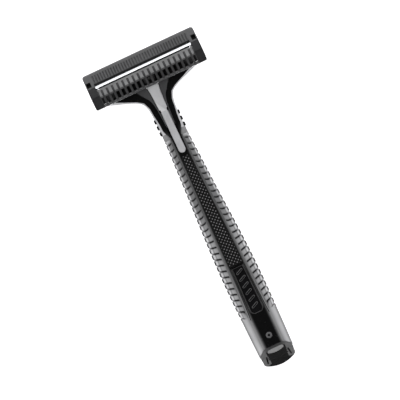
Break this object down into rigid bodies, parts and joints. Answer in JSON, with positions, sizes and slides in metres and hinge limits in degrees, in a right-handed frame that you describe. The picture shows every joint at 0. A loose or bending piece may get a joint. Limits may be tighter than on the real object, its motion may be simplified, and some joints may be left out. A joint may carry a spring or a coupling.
{
  "type": "cartridge razor",
  "caption": "Safety razor with a tapered ribbed handle, a thumb slider that releases the head, and a sprung pivoting blade cartridge with a comb guard.",
  "frame": {"origin": "middle of the razor's length and width, at the height of the flat back it lies on", "axes": "+Y along the handle towards the cartridge, +Z out of the front face, +X across the cartridge"},
  "size_m": [0.0414, 0.1177, 0.0131],
  "materials": {
    "black_gloss": "gloss black moulded plastic",
    "smoke_grip": "smoke grey glossy ribbed grip",
    "black_rubber": "dimpled black elastomer",
    "grey_slider": "satin mid grey moulded plastic",
    "stud_grey": "satin grey",
    "dark_satin": "dark grey satin moulded plastic",
    "inner_black": "black moulded plastic",
    "inner_white": "natural acetal",
    "spring_steel": "drawn spring wire",
    "blade_steel": "ground and polished stainless steel",
    "clip_black": "blackened metal clip"
  },
  "bodies": {
    "handle": {"handle_front": "black_gloss", "handle_back": "black_gloss", "side_grip_left": "smoke_grip", "side_grip_right": "smoke_grip", "thumb_pad": "black_rubber", "badge_plate": "black_gloss", "ring_stud": "stud_grey", "neck_nubs_left": "black_rubber", "neck_nubs_right": "black_rubber", "end_plug": "black_gloss", "spring_bracket": "inner_black", "slider_spring": "spring_steel"},
    "slider": {"release_slider": "grey_slider"},
    "connector": {"connector": "inner_black", "plunger_spring": "spring_steel"},
    "plunger": {"plunger": "inner_white"},
    "cartridge": {"cartridge_frame": "dark_satin", "guard_comb": "dark_satin", "blade": "blade_steel", "blade_seat": "inner_black", "cap": "dark_satin", "end_clip_left": "clip_black", "end_clip_right": "clip_black"}
  },
  "joints": [
    {"name": "release_slide", "type": "slide", "parent": "handle", "child": "slider", "axis": [0, 1, 0], "range_m": [0, 0.004], "stiffness_N_per_m": 120, "springref_m": -0.001, "deforming": ["slider_spring"]},
    {"name": "cartridge_eject", "type": "slide", "parent": "handle", "child": "connector", "axis": [0, 1, 0], "range_m": [0, 0.004]},
    {"name": "cartridge_pivot", "type": "hinge", "parent": "connector", "child": "cartridge", "pos_m": [0, 0.0504, 0.00897], "axis": [-1, 0, 0], "range_deg": [0, 35], "stiffness_Nm_per_rad": 0.004, "springref_deg": -5.73},
    {"name": "plunger_slide", "type": "slide", "parent": "connector", "child": "plunger", "axis": [0, -1, 0], "range_m": [0, 0.0014], "deforming": ["plunger_spring"]}
  ],
  "couplings": [
    {"joint": "cartridge_eject", "follows": "release_slide", "ratio": 1},
    {"joint": "plunger_slide", "follows": "cartridge_pivot", "m_per_rad": 0.0022}
  ]
}
